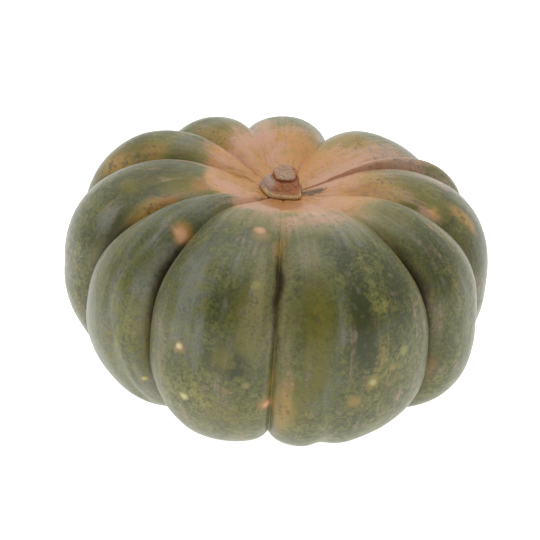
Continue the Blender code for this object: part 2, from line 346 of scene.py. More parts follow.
class SquashFruitSettings(bpy.types.PropertyGroup):
    """Sizes and colours of the fruit."""

    crest_radius: length_property("Crest Radius", 0.130, "Widest reach of an even rib")
    shoulder_rise: length_property("Shoulder Rise", 0.080, "From the widest ring up to the crest")
    belly_drop: length_property("Belly Drop", 0.082, "From the widest ring down to the underside")
    stem_hollow_depth: length_property("Stem Hollow Depth", 0.025, "How far the stem end is sunk")
    stem_hollow_radius: length_property("Stem Hollow Radius", 0.050, "Reach of the stem hollow")
    blossom_hollow_depth: length_property(
        "Blossom Hollow Depth", 0.024, "How far the blossom end is sunk")
    blossom_hollow_radius: length_property(
        "Blossom Hollow Radius", 0.040, "Reach of the blossom hollow")
    blossom_scar_rise: length_property("Blossom Scar Rise", 0.002, "Height of the blossom scar")
    blossom_scar_radius: length_property("Blossom Scar Radius", 0.007, "Radius of the blossom scar")
    crease_depth: length_property("Crease Depth", 0.010, "Depth of an even crease between ribs")
    cleft_depth: length_property("Cleft Depth", 0.0045, "Depth of the narrow cleft in each crease")
    cleft_width: length_property("Cleft Width", 0.003, "How fast that cleft closes")
    furrow_depth: length_property("Furrow Depth", 0.0025, "Depth of the furrow in the front rib")
    fold_depth: length_property("Fold Depth", 0.0013, "Depth of the fold in the left front rib")
    unevenness: length_property("Unevenness", 0.0007, "Height of the skin's broad uneven swells")
    pucker: length_property("Pucker", 0.0007, "Height of the puckers round the stem")
    lean_x: angle_property("Lean Sideways", 4.8, "How far the fruit has slumped to its side")
    lean_y: angle_property("Lean Back", 1.5, "How far the fruit has slumped to the back")
    standing_shift: bpy.props.FloatVectorProperty(
        name="Standing Shift", description="How far the fruit's own axis stands from the origin",
        size=2, default=(0, 0), unit="LENGTH", precision=4)
    green: colour_property("Green", "#64672F", "The unripe skin")
    dark: colour_property("Dark Green", "#2F350D", "Its darker mottling")
    lime: colour_property("Lime", "#96934C", "Its paler, yellower flecks")
    gold: colour_property("Gold", "#6E681A", "Patches that turn yellow first")
    # Tan is also laid beside the creases, partly as painted light against their shade
    tan: colour_property("Tan", "#988D62", "Duller skin beside the creases and over the shoulders")
    ochre: colour_property("Ochre", "#B68F42", "Half ripe skin, between green and ripe")
    ripe: colour_property("Ripe", "#CC9250", "The ripe skin round the stem")
    rose: colour_property("Rose", "#CFA18A", "Ripe skin under a thicker bloom")
    rust: colour_property("Rust", "#A8692C", "Ripe skin where it is stained")
    bloom: colour_property("Bloom", "#868878", "The pale wax on the skin")
    # Painted shade deep in the creases
    crease: colour_property("Crease", "#33290B", "Skin deep in the creases")
    # Painted shadow along the lines that run out from the stem and in its wrinkles
    tail: colour_property("Tail", "#473626", "Dark wrinkles that run out from the stem")


class SquashStemSettings(bpy.types.PropertyGroup):
    """Sizes and colours of the stem."""

    foot_radius: length_property("Foot Radius", 0.0146, "Reach of the flared foot")
    neck_radius: length_property("Neck Radius", 0.0069, "Radius at the waist")
    head_radius: length_property("Head Radius", 0.0074, "Radius of the cut end")
    height: length_property("Height", 0.0115, "From the seat to the middle of the cut end")
    bark: colour_property("Bark", "#B77C55", "The dry stalk")
    # Dark bark in the stalk's furrows, and painted shadow at its waist under the cut end
    dark_bark_and_shade: colour_property("Dark Bark", "#7A4630", "The stalk's waist and furrows")
    flank: colour_property("Flank", "#B39C90", "The greyer bark at the stalk's sides")
    cut: colour_property("Cut End", "#BA987C", "The weathered cut end")
    pith: colour_property("Pith", "#8B7562", "Pits in the cut end")
    foot: colour_property("Foot", "#D2B884", "The rim where the stalk meets the fruit")


class SquashStageSettings(bpy.types.PropertyGroup):
    """The camera and the studio."""

    camera_distance: length_property("Camera Distance", 0.866, "From the middle of the fruit")
    camera_rise: angle_property("Camera Rise", 31.4, "How far above level the camera looks from")
    lens: bpy.props.FloatProperty(
        name="Lens", description="Focal length in millimetres", default=92.0, min=1)
    floor_size: length_property("Floor Size", 8.0, "Side of the floor")
    floor: colour_property("Floor", "#CFCFCD", "The pale floor")
    floor_glow: bpy.props.FloatProperty(
        name="Floor Glow", description="How brightly the floor is lit from below", default=1.0)


def smooth_step(value, start=0.0, end=1.0):
    """0 up to the start, 1 from the end on, and a smooth rise between them."""
    share = np.clip((value - start) / (end - start), 0, 1)
    return share * share * (3 - 2 * share)


# Shape of the fruit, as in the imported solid. Lengths are metres. Places across a rib run from -1 to
# 1, and places along it are shares of the way down. The furrow is in the right front rib, and the
# fold, which wanders across, is in the rib left of the front pair.
ROUNDNESS_OUT = 0.78
ROUNDNESS_UP = 0.67
ROUNDNESS_DOWN = 0.98
CREASE_FADE_RADIUS = 0.075
CREASE_FADE_POWER = 1.6
CLEFT_NONE_WITHIN = 0.045
CLEFT_FULL_BEYOND = 0.110
RIB_ROUNDNESS = 2.1
SWELL_ROUNDNESS = 1.5
FOOT_PLACE = 0.68
FOOT_SPREAD = 0.14
FURROW_ACROSS = -0.31
FURROW_WIDTH = 0.16
FURROW_DEEPENS = (0.35, 0.60)
FURROW_FADES = (0.80, 0.95)
FOLD_DOWN = (0.30, 0.44, 0.47, 0.54, 0.61, 0.70)
FOLD_ACROSS = (0.28, 0.20, 0.25, 0.43, 0.50, 0.55)
FOLD_WIDTH = 0.09
FOLD_DEEPENS = (0.26, 0.36)
FOLD_FADES = (0.66, 0.76)
LEAN_NONE_BELOW = -0.080
LEAN_FULL_ABOVE = -0.020
STANDING_DROP = 0.0727
FLATTENING = 0.0006
SEAT_RADIUS = 0.0165

# The line over a rib is worked out at this many places, with the middle one at the widest ring
CREST_SAMPLES = 4001

# Where the wrinkles round the stem fade and end, how far down they can lie, and how much of their
# depth the broad ones give
WRINKLES_FADE = 0.016
WRINKLES_END = 0.060
WRINKLES_DOWN = 0.4
BROAD_WRINKLES = 0.65

# Fields of smooth noise: the size of the grain, an offset that sets each field apart, and the height
Field = namedtuple("Field", "grain offset height")
WANDER_ROUND = Field(0.016, 11.0, 0.003)
WANDER_DOWN = Field(0.020, 17.0, 0.008)
BROAD_SWELL = Field(0.034, 0.0, 0.7)
FINE_SWELL = Field(0.013, 5.0, 0.3)
BROAD_GROOVES = Field(0.16, 9.0, 6.0)
FINE_GROOVES = Field(0.07, 3.0, 5.0)
ROUGH_BARK = Field(0.0022, 2.0, 0.05)
ROUGH_CUT = Field(0.0018, 7.0, 0.0004)

# A patch near the stem counts at least this share of its own radius, or it would draw to a point
LEAST_REACH = 0.5

# Colours along the creases: the radii between which they come in, the shares of the way down
# between which they weaken and by how much, and the strength and reach of the tan edges, partly
# the skin's duller colour and partly painted light against the creases' shade, and of the dark
# lines of painted shade, which the ripe skin mostly hides
CREASES_SHOW = (0.070, 0.110)
CREASES_WEAKEN = (0.42, 0.52)
CREASES_LOSE = 0.5
CREASE_TAN = 0.6
CREASE_TAN_REACH = 0.010
CREASE_SHADE = 0.85
CREASE_SHADE_REACH = 0.0025
CREASE_SHADE_RIPE_LOSS = 0.7

# Facets of the fine fruit
COLUMNS_A_RIB = 40
ROWS = 218
COLUMN_PINCH = 0.75


def crest_line(sizes):
    """The line over an even rib: share of its run, radius, height, way outwards, and whole run."""
    angle = np.linspace(math.pi / 2, -math.pi / 2, CREST_SAMPLES)
    out = np.clip(np.cos(angle), 0, 1)
    up = np.clip(np.sin(angle), 0, 1)
    down = np.clip(-np.sin(angle), 0, 1)
    radius = sizes.crest_radius * out**ROUNDNESS_OUT
    height = sizes.shoulder_rise * up**ROUNDNESS_UP - sizes.belly_drop * down**ROUNDNESS_DOWN
    sunk = np.exp(-((radius / sizes.stem_hollow_radius) ** 2))
    height -= (angle > 0) * sizes.stem_hollow_depth * sunk
    hollow = np.exp(-((radius / sizes.blossom_hollow_radius) ** 2))
    scar = np.exp(-((radius / sizes.blossom_scar_radius) ** 4))
    height += (angle < 0) * sizes.blossom_hollow_depth * hollow
    height -= (angle < 0) * sizes.blossom_scar_rise * scar
    run = np.concatenate([[0], np.cumsum(np.hypot(np.diff(radius), np.diff(height)))])
    run_out, run_up = np.gradient(radius, run), np.gradient(height, run)
    return run / run[-1], radius, height, -run_up, run_out, run[-1]


def of_ribs(field, ribs):
    """One property of each of these ribs."""
    return np.array([getattr(rib, field) for rib in RIBS])[ribs]


def next_rib(rib):
    """The rib counter-clockwise of each of these, whose first crease is their last."""
    return (rib + 1) % len(RIBS)


def rib_turn(rib, across, down):
    """The direction round the axis of a place on a rib, in radians, growing from rib to rib."""
    following = next_rib(rib)
    first = of_ribs("turn", rib) + of_ribs("slant", rib) * (down - 0.5)
    last = of_ribs("turn", following) + of_ribs("slant", following) * (down - 0.5)
    last += 360 * (following == 0)
    return np.radians(first + (last - first) * (across + 1) / 2)


def to_crease(rib, across, down, radius):
    """The distance to the nearer crease."""
    half_width = (rib_turn(rib, 1, down) - rib_turn(rib, -1, down)) / 2
    return (1 - np.abs(across)) * half_width * np.maximum(radius, MM)


def nearer_depth(rib, across):
    """How deep the nearer crease is against an even one."""
    return np.where(across < 0, of_ribs("depth", rib), of_ribs("depth", next_rib(rib)))


def rib_relief(sizes, rib, across, down, radius):
    """How far the skin lies in from an even crest."""
    edge = np.abs(across) ** RIB_ROUNDNESS
    fade = 1 - np.exp(-((radius / CREASE_FADE_RADIUS) ** CREASE_FADE_POWER))
    share = nearer_depth(rib, across)
    cleft = sizes.cleft_depth * np.exp(-to_crease(rib, across, down, radius) / sizes.cleft_width)
    cleft *= smooth_step(radius, CLEFT_NONE_WITHIN, CLEFT_FULL_BEYOND)
    rise = of_ribs("swell", rib) * np.sin(math.pi * down) ** 2
    rise += of_ribs("foot", rib) * np.exp(-(((down - FOOT_PLACE) / FOOT_SPREAD) ** 2))
    relief = sizes.crease_depth * fade * share * edge + cleft
    relief -= rise * MM * (1 - edge**SWELL_ROUNDNESS)
    along = smooth_step(down, *FURROW_DEEPENS) * (1 - smooth_step(down, *FURROW_FADES))
    furrow = along * np.exp(-(((across - FURROW_ACROSS) / FURROW_WIDTH) ** 2))
    aside = (across - np.interp(down, FOLD_DOWN, FOLD_ACROSS)) / FOLD_WIDTH
    along = smooth_step(down, *FOLD_DEEPENS) * (1 - smooth_step(down, *FOLD_FADES))
    fold = along * np.exp(-(aside**2))
    relief += sizes.furrow_depth * furrow * (rib == FRONT_RIGHT)
    return relief + sizes.fold_depth * fold * (rib == LEFT_1)


def lean(sizes, x, y, z):
    """The points once the fruit has slumped to its side and been set on a level surface."""
    share = smooth_step(z, LEAN_NONE_BELOW, LEAN_FULL_ABOVE)
    dip = (sizes.lean_x * x + sizes.lean_y * y) * share
    return x + sizes.lean_x * z, y + sizes.lean_y * z, z - dip + STANDING_DROP


def flatten(height):
    """The ribs' undersides pressed to the surface they stand on, with a soft start."""
    soft = (height + FLATTENING) ** 2 / (4 * FLATTENING)
    return np.where(height <= -FLATTENING, 0, np.where(height >= FLATTENING, height, soft))


def sphere_grid(name, columns, rows):
    """A sphere's mesh, with the column and row of each of its points, counted from +Y and the top."""
    bm = bmesh.new()
    bmesh.ops.create_uvsphere(bm, u_segments=columns, v_segments=rows, radius=1.0)
    mesh = bpy.data.meshes.new(name)
    bm.to_mesh(mesh)
    bm.free()
    places = np.empty(len(mesh.vertices) * 3)
    mesh.vertices.foreach_get("co", places)
    x, y, z = places.reshape(-1, 3).T
    column = np.rint(np.arctan2(-x, y) / math.tau * columns).astype(int) % columns
    row = np.rint(np.arccos(np.clip(z, -1, 1)) / math.pi * rows).astype(int)
    return mesh, column, row


def noise_at(points, field):
    """A field of smooth noise at each point."""
    shift = Vector((field.offset,) * 3)
    values = [noise.noise(Vector(point) / field.grain + shift) for point in points]
    return field.height * np.array(values)


def fruit_places(sizes, rib, across, down):
    """Where places on the ribs are, the way outwards there, their turn, and the crest's radius."""
    share, crest_radius, crest_height, out_all, up_all, _ = crest_line(sizes)
    radius = np.interp(down, share, crest_radius)
    height = np.interp(down, share, crest_height)
    out = np.interp(down, share, out_all)
    up = np.interp(down, share, up_all)
    relief = rib_relief(sizes, rib, across, down, radius)
    turn = rib_turn(rib, across, down)
    flat = np.stack([np.cos(turn), np.sin(turn)], 1)
    centre = np.column_stack([flat * (radius - out * relief)[:, None], height - up * relief])
    away = np.column_stack([flat * out[:, None], up])
    return centre, away, turn, radius


def wrinkles(turn, radius, down):
    """Narrow grooves that run out from the stem: 1 in the middle of a groove, 0 between them."""
    depth = np.zeros(len(turn))
    near = (radius < WRINKLES_END) & (down < WRINKLES_DOWN)
    ring = np.column_stack([np.cos(turn[near]), np.sin(turn[near]), radius[near] / WRINKLES_END])
    broad = np.clip(1 - np.abs(noise_at(ring, BROAD_GROOVES)), 0, 1)
    fine = np.clip(1 - np.abs(noise_at(ring, FINE_GROOVES)), 0, 1)
    fade = 1 - smooth_step(radius[near], WRINKLES_FADE, WRINKLES_END)
    depth[near] = fade * (BROAD_WRINKLES * broad + (1 - BROAD_WRINKLES) * fine)
    return depth


def tint_strength(tint, sizes, turn, radius, down, wander):
    """How strongly a tint's soft patches colour each place."""
    share, crest_radius, _, _, _, run = crest_line(sizes)
    strength = np.zeros(len(turn))
    for rib, across, place, half_width, half_length, peak in PATCHES[tint]:
        aside = turn - rib_turn(rib, across, place)
        aside = (aside + math.pi) % math.tau - math.pi
        reach = np.maximum(radius, np.interp(place, share, crest_radius) * LEAST_REACH)
        spread = ((aside * reach + wander[0]) / (half_width * MM)) ** 2
        spread += (((down - place) * run + wander[1]) / (half_length * MM)) ** 2
        strength = np.maximum(strength, peak * np.exp(-spread))
    return strength


def crease_paint(rib, across, down, radius, ripe):
    """How strongly the tan edges, partly painted light, and the dark lines of painted shade in the
    creases colour each place.
    """
    gap = to_crease(rib, across, down, radius)
    shown = smooth_step(radius, *CREASES_SHOW) * (1 - CREASES_LOSE * smooth_step(down, *CREASES_WEAKEN))
    edges = CREASE_TAN * shown * np.exp(-((gap / CREASE_TAN_REACH) ** 2))
    depth = np.minimum(nearer_depth(rib, across), 1)
    painted_crease_shade = CREASE_SHADE * shown * depth * np.exp(-gap / CREASE_SHADE_REACH)
    return edges, painted_crease_shade * (1 - CREASE_SHADE_RIPE_LOSS * ripe)


def store(mesh, paint):
    """Keeps how strongly each tint colours each point of the mesh."""
    for name, values in paint.items():
        layer = mesh.attributes.new(name, "FLOAT", "POINT")
        layer.data.foreach_set("value", values.astype(np.float32))


def map_skin(mesh, rib, turn, down, size, run):
    """A UV map in metres: round the fruit at its widest ring, and down its ribs."""
    corner_points = np.empty(len(mesh.loops), int)
    mesh.loops.foreach_get("vertex_index", corner_points)
    u, v, corner_rib = turn[corner_points] * size, down[corner_points] * run, rib[corner_points]
    starts = np.empty(len(mesh.polygons), int)
    mesh.polygons.foreach_get("loop_start", starts)
    face = np.searchsorted(starts, np.arange(len(mesh.loops)), side="right") - 1
    last_rib = np.zeros(len(starts), bool)
    np.logical_or.at(last_rib, face, corner_rib == len(RIBS) - 1)
    # In the faces that close the round, the first rib's corners lie a full turn on
    u[(corner_rib == 0) & last_rib[face]] += math.tau * size
    layer = mesh.uv_layers.new(name="Skin")
    layer.data.foreach_set("uv", np.stack([u, v], 1).astype(np.float32).ravel())


def finish_piece(mesh, name, finish, node):
    """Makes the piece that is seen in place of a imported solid."""
    mesh.materials.append(finish)
    mesh.shade_smooth()
    made = bpy.data.objects.new(name, mesh)
    bpy.context.scene.collection.objects.link(made)
    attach(made, "root")
    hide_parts(node)


def add_node(tree, kind, settings=None, inputs=None, output=None):
    """Adds one node with its settings and its inputs, values or sockets, and gives its output."""
    made = tree.nodes.new(kind)
    for name, value in (settings or {}).items():
        setattr(made, name, value)
    for name, value in (inputs or {}).items():
        socket = made.inputs[name]
        if isinstance(value, bpy.types.NodeSocket):
            tree.links.new(value, socket)
        else:
            socket.default_value = (*value, 1) if socket.type == "RGBA" else value
    return made.outputs[output] if output else next(one for one in made.outputs if one.enabled)


def new_finish(name):
    """A material, with its tree and its shader."""
    finish = bpy.data.materials.new(name)
    finish.use_nodes = True
    tree = finish.node_tree
    return finish, tree, tree.nodes["Principled BSDF"]


# Blender's noise runs from 0 to 1, but keeps mostly between these
NOISE_LOW = 0.28
NOISE_HIGH = 0.72

# Streaks run down the ribs: this is their width against their length
STREAK_SLIMNESS = 0.12

# A spot's colour starts and is full at these sums of the distance from its middle, in radii and
# negative, and of the raggedness of its edge
SPOT_STARTS = -1.5
SPOT_FULL = -0.3
SPOT_RAGGEDNESS = 0.3


def blended(tree, patterns):
    """Patterns added up, each by its own weight."""
    total = 0.0
    for pattern, weight in patterns:
        total = add_node(tree, "ShaderNodeMath", {"operation": "MULTIPLY_ADD"},
                         {0: pattern, 1: weight, 2: total})
    return total


def lay_tint(tree, under, tint, cover, start, full, patterns):
    """Lays a tint on a colour: none where the patterns add up to start, and 'cover' from full on.

    A colour mix takes its share as input 0 and its two colours as inputs 6 and 7.
    """
    share = add_node(tree, "ShaderNodeMapRange", {"interpolation_type": "SMOOTHSTEP"},
                     {"Value": blended(tree, patterns), "From Min": start, "From Max": full,
                      "To Max": cover})
    return add_node(tree, "ShaderNodeMix", {"data_type": "RGBA"}, {0: share, 6: under, 7: tint})


def mottling(tree, place, grain, detail=3.0, raggedness=0.55, twist=0.0):
    """Cloudy mottling with a grain of that many millimetres, spread evenly from -1 to 1."""
    clouds = add_node(tree, "ShaderNodeTexNoise", None,
                      {"Vector": place, "Scale": 1 / (grain * MM), "Detail": detail,
                       "Roughness": raggedness, "Distortion": twist})
    return add_node(tree, "ShaderNodeMapRange", None,
                    {"Value": clouds, "From Min": NOISE_LOW, "From Max": NOISE_HIGH, "To Min": -1.0})


def stretched(tree, place, shares):
    """A place scaled along each axis, which draws a pattern out where the share is small."""
    return add_node(tree, "ShaderNodeVectorMath", {"operation": "MULTIPLY"}, {0: place, 1: shares})


def skin_finish(sizes, shift):
    """Waxy cuticle of a squash: mottled, satin, with a pale bloom that greys it where it is thick."""
    finish, tree, shader = new_finish("Waxy squash cuticle")
    place = add_node(tree, "ShaderNodeTexCoord", output="Object")
    along = add_node(tree, "ShaderNodeUVMap", {"uv_map": "Skin"})
    lengthwise = stretched(tree, along, (1, STREAK_SLIMNESS, 1))
    bands = mottling(tree, lengthwise, 15, 2)
    streaks = mottling(tree, lengthwise, 5)
    hairs = mottling(tree, lengthwise, 2.2, 2)
    blotches = mottling(tree, place, 24)
    clouds = mottling(tree, place, 13, 3, 0.6)
    flecks = mottling(tree, place, 6, 4, 0.65)
    speckle = mottling(tree, place, 3.2, 2, 0.6, 0.3)
    grains = mottling(tree, place, 1.6, 2)
    paint = {name: add_node(tree, "ShaderNodeAttribute", {"attribute_name": name}, output="Fac")
             for name in TINTS + ("wrinkle",)}

    turning = ((paint["ripe"], 1.0), (blotches, 0.10), (flecks, 0.16), (streaks, 0.08),
               (speckle, 0.10), (grains, 0.05))
    # Each layer's tint, how fully it covers, the sums of its patterns at which it starts and is full,
    # and those patterns with their weights
    layers = (
        (sizes.dark, 0.85, -0.5, 1.1,
         ((paint["dark"], 1.1), (bands, 0.35), (blotches, 0.3), (streaks, 0.2), (flecks, 0.5),
          (speckle, 0.4), (grains, 0.25))),
        (sizes.lime, 0.7, -0.2, 1.5,
         ((paint["lime"], 1.0), (paint["dark"], -0.6), (paint["gold"], -0.4), (clouds, 0.3),
          (flecks, -0.1), (speckle, -0.2), (hairs, 0.2), (grains, -0.25))),
        (sizes.gold, 0.9, 0.1, 0.9,
         ((paint["gold"], 1.0), (paint["ripe"], 0.35), (clouds, 0.2), (flecks, 0.35),
          (speckle, 0.35), (streaks, 0.15))),
        (sizes.tan, 0.8, 0.1, 1.1,
         ((paint["tan"], 1.0), (paint["ripe"], 0.6), (streaks, 0.25), (flecks, 0.2),
          (speckle, 0.15))),
        (sizes.ochre, 0.85, 0.2, 1.0, ((paint["ochre"], 0.9), *turning, (speckle, 0.15))),
        (sizes.dark, 0.6, 0.1, 1.2, ((paint["ochre"], 0.35), (speckle, 0.5), (flecks, 0.4))),
        (sizes.ripe, 1.0, 0.50, 1.05, turning),
        (sizes.rose, 0.8, 0.2, 1.1,
         ((paint["rose"], 1.0), (paint["ripe"], 0.3), (blotches, 0.45), (streaks, 0.3),
          (flecks, 0.2))),
        (sizes.rust, 0.75, 0.25, 1.2,
         ((paint["rust"], 1.0), (paint["ripe"], 0.2), (clouds, 0.4), (streaks, 0.4),
          (paint["wrinkle"], 0.4))),
        (sizes.bloom, 0.85, 0.1, 1.1,
         ((paint["bloom"], 1.0), (paint["ripe"], -0.5), (bands, 0.15), (blotches, 0.15),
          (streaks, 0.25), (flecks, 0.3), (speckle, 0.2))),
        (sizes.tan, 0.3, -0.1, 0.9,
         ((streaks, 0.35), (flecks, -0.4), (speckle, -0.4), (paint["dark"], -0.5))),
        (sizes.dark, 0.38, -0.2, 0.8,
         ((flecks, 0.45), (speckle, 0.45), (grains, 0.4), (paint["ripe"], -0.4))),
        # Painted shade in the creases
        (sizes.crease, 0.95, 0.05, 1.0, ((paint["crease"], 1.0), (flecks, 0.08), (speckle, 0.08))),
        # Painted shade: dark lines in the wrinkle grooves and the patches by the stem
        (sizes.tail, 0.8, 0.25, 1.1,
         ((paint["wrinkle"], 0.55), (paint["tail"], 0.6), (streaks, 0.2), (speckle, 0.15))),
    )
    colour = sizes.green
    for layer in layers:
        colour = lay_tint(tree, colour, *layer)
    for spot in SPOTS:
        colour = spotted(tree, sizes, colour, place, flecks, shift, spot)

    satin = add_node(tree, "ShaderNodeMapRange", None,
                     {"Value": flecks, "From Min": -1.0, "To Min": 0.42, "To Max": 0.55})
    pores = blended(tree, ((flecks, 0.5), (speckle, 0.3), (grains, 0.3)))
    bump = add_node(tree, "ShaderNodeBump", None,
                    {"Height": pores, "Strength": 0.4, "Distance": 0.3 * MM})
    tree.links.new(colour, shader.inputs["Base Color"])
    tree.links.new(satin, shader.inputs["Roughness"])
    tree.links.new(bump, shader.inputs["Normal"])
    shader.inputs["IOR"].default_value = 1.38
    # The wax has a soft gloss everywhere but deep in the creases, where its coat fades out under the
    # painted crease shade
    gloss = add_node(tree, "ShaderNodeMapRange", None,
                     {"Value": paint["crease"], "To Min": 0.4, "To Max": 0.0})
    tree.links.new(gloss, shader.inputs["Coat Weight"])
    shader.inputs["Coat Roughness"].default_value = 0.28
    shader.inputs["Coat IOR"].default_value = 1.45
    shader.inputs["Sheen Weight"].default_value = 0.2
    shader.inputs["Sheen Roughness"].default_value = 0.28
    return finish


def spotted(tree, sizes, colour, place, ragged, shift, spot):
    """The colour with one small round spot on it, a little ragged at its edge."""
    hex_colour, rib, across, down, radius, strength = spot
    middle = skin_places(sizes, np.array([rib]), np.array([across]), np.array([down]), shift)[0]
    away = add_node(tree, "ShaderNodeVectorMath", {"operation": "DISTANCE"},
                    {0: place, 1: tuple(middle)})
    return lay_tint(tree, colour, linear(hex_colour), strength, SPOT_STARTS, SPOT_FULL,
                    ((away, -1 / (radius * MM)), (ragged, SPOT_RAGGEDNESS)))


def skin_places(sizes, rib, across, down, shift):
    """Where places of the bare formula are on the standing fruit."""
    centre, _, _, _ = fruit_places(sizes, rib, across, down)
    x, y, z = lean(sizes, *centre.T)
    return np.stack([x + shift[0], y + shift[1], flatten(z)], 1)


class MESH_OT_squash_fruit(bpy.types.Operator):
    """Build the ribbed fruit over its solid."""

    bl_idname = "mesh.squash_fruit"
    bl_label = "Squash Fruit"

    def execute(self, context):
        sizes = context.scene.squash_fruit
        mesh, column, row = sphere_grid("fruit skin", COLUMNS_A_RIB * len(RIBS), ROWS)
        rib = column // COLUMNS_A_RIB
        step = 2 * (column % COLUMNS_A_RIB) / COLUMNS_A_RIB - 1
        # Columns draw closer towards the creases, where the skin turns fastest
        across = (1 - COLUMN_PINCH) * step + COLUMN_PINCH * np.sin(step * math.pi / 2)
        down = row / ROWS
        centre, away, turn, radius = fruit_places(sizes, rib, across, down)
        wander = noise_at(centre, WANDER_ROUND), noise_at(centre, WANDER_DOWN)
        swell = noise_at(centre, BROAD_SWELL) + noise_at(centre, FINE_SWELL)
        grooves = wrinkles(turn, radius, down)
        centre += away * (sizes.unevenness * swell - sizes.pucker * grooves)[:, None]
        x, y, z = lean(sizes, *centre.T)
        places = np.stack([x, y, flatten(z)], 1)
        shift = middle_of_box(FRUIT_BOX) - (places.min(0)[:2] + places.max(0)[:2]) / 2
        places[:, :2] += shift
        mesh.vertices.foreach_set("co", places.astype(np.float32).ravel())
        mesh.update()
        sizes.standing_shift = shift
        run = crest_line(sizes)[-1]
        map_skin(mesh, rib, turn, down, sizes.crest_radius, run)

        reach, edge = of_ribs("ripe_reach", rib), of_ribs("ripe_edge", rib)
        ripe = 1 - smooth_step(down + wander[1] / run, reach - edge, reach + edge)
        paint = {tint: tint_strength(tint, sizes, turn, radius, down, wander) for tint in TINTS}
        paint["ripe"] = np.maximum(ripe, paint["ripe"])
        paint["bloom"] = np.maximum(of_ribs("bloom", rib), paint["bloom"])
        # Tan edges, partly painted light, and dark lines of painted shade along the creases
        edges, painted_crease_shade = crease_paint(rib, across, down, radius, paint["ripe"])
        paint["tan"] = np.maximum(paint["tan"], edges)
        paint["crease"] = 1 - (1 - painted_crease_shade) * (1 - paint["crease"])
        paint["wrinkle"] = grooves
        store(mesh, paint)
        finish_piece(mesh, "fruit_skin", skin_finish(sizes, shift), "fruit")
        return {"FINISHED"}


def middle_of_box(box):
    """The middle of a box, seen from above."""
    low, high = box
    return np.array([(low.x + high.x) / 2, (low.y + high.y) / 2])


# Shape of the stem: heights and lengths in metres, and how far to a side as a cosine of the turn. Its
# foot is narrower at the right and bulges upwards at the left, and its cut end slopes, with a
# rounded edge from the profile's fourth last point on.
STEM_COLUMNS = 120
STEM_ROWS = 90
STEM_LOBES = 5
STEM_LOBE_DEPTH = 0.05
STEM_LOBE_TURN = math.radians(20)
STEM_RIGHT_SHARE = 0.27
STEM_RIGHT_TURN = math.radians(25)
STEM_RIGHT_FADES = (0.0020, 0.0090)
STEM_BULGE = 0.0024
STEM_BULGE_SIDE = (0.1, 0.9)
STEM_BULGE_HEIGHT = 0.0038
STEM_BULGE_SPREAD = 0.0022
BARK_DRAWN_OUT = 0.4
BARK_ROUGH_FROM = (0, 0.002)
CUT_SLOPE = math.tan(math.radians(14))
CUT_STARTS = 0.52
CUT_EDGE_POINT = -4
CUT_EDGE = 0.0008

# Where the stem's colours lie, told in the same way. At its right, past a slanting line, the cut end
# mostly shows the bark's colour instead of its own.
RIGHT_EDGE_SLANT = 0.3
RIGHT_EDGE_STARTS = (0.0034, 0.0056)
RIGHT_EDGE_HIDES = 0.8
RIM_FADES = (0.0014, 0.0032)
RIM_SIDE = (-0.2, 0.6)
# Painted shadow: a dark ring round the stalk just under the cut end's rim
UNDERCUT_SHADE_STRENGTH = 0.75
UNDERCUT_SHADE_HEIGHT = 0.0092
UNDERCUT_SHADE_SPREAD = 0.0010
FLANK_FADES = (0.0060, 0.0085)
FLANK_SIDE = (0.3, 0.9)


def stem_profile(sizes):
    """Height and radius from the middle of the foot's underside to the middle of the cut end."""
    foot, neck, head, top = sizes.foot_radius, sizes.neck_radius, sizes.head_radius, sizes.height
    points = (
        (-0.0012, 0.0), (-0.0012, 0.90 * foot), (-0.0002, 0.98 * foot), (0.0008, foot),
        (0.0016, 0.97 * foot), (0.0024, 0.90 * foot), (0.0036, 0.80 * foot),
        (0.0050, 0.71 * foot), (0.0064, 0.63 * foot), (0.0078, 1.16 * neck), (0.0090, 1.04 * neck),
        (0.0101, 0.99 * head), (top - 0.0006, head), (top, 0.94 * head), (top, 0.5 * head),
        (top - 0.0004, 0.0))
    return np.array(points)


def stem_finish(sizes):
    """Dry corky peduncle: matt, fibrous along its length, paler and grainy on the cut."""
    finish, tree, shader = new_finish("Dry corky stalk")
    place = add_node(tree, "ShaderNodeTexCoord", output="Object")
    fibres = mottling(tree, stretched(tree, place, (1, 1, 0.25)), 1.8)
    grains = mottling(tree, place, 2.2, 3, 0.7)
    paint = {name: add_node(tree, "ShaderNodeAttribute", {"attribute_name": name}, output="Fac")
             for name in ("foot", "waist", "flank", "cut")}
    layers = (
        (sizes.dark_bark_and_shade, 0.8, 0.0, 1.2, ((fibres, 0.9), (grains, 0.4))),
        (sizes.flank, 0.9, 0.2, 0.9, ((paint["flank"], 1.0), (fibres, 0.25), (grains, 0.15))),
        (sizes.foot, 0.95, 0.2, 0.9, ((paint["foot"], 1.0), (fibres, 0.15), (grains, 0.15))),
        # Painted shadow under the cut end's rim
        (sizes.dark_bark_and_shade, 0.9, 0.1, 1.0, ((paint["waist"], 1.0), (fibres, 0.2))),
        (sizes.cut, 1.0, 0.3, 0.7, ((paint["cut"], 1.0),)),
        (sizes.pith, 0.8, 0.9, 2.0, ((paint["cut"], 1.0), (grains, 0.8))),
    )
    colour = sizes.bark
    for layer in layers:
        colour = lay_tint(tree, colour, *layer)
    ridges = blended(tree, ((fibres, 0.6), (grains, 0.6)))
    bump = add_node(tree, "ShaderNodeBump", None,
                    {"Height": ridges, "Strength": 0.6, "Distance": 0.8 * MM})
    tree.links.new(colour, shader.inputs["Base Color"])
    tree.links.new(bump, shader.inputs["Normal"])
    shader.inputs["Roughness"].default_value = 0.85
    return finish


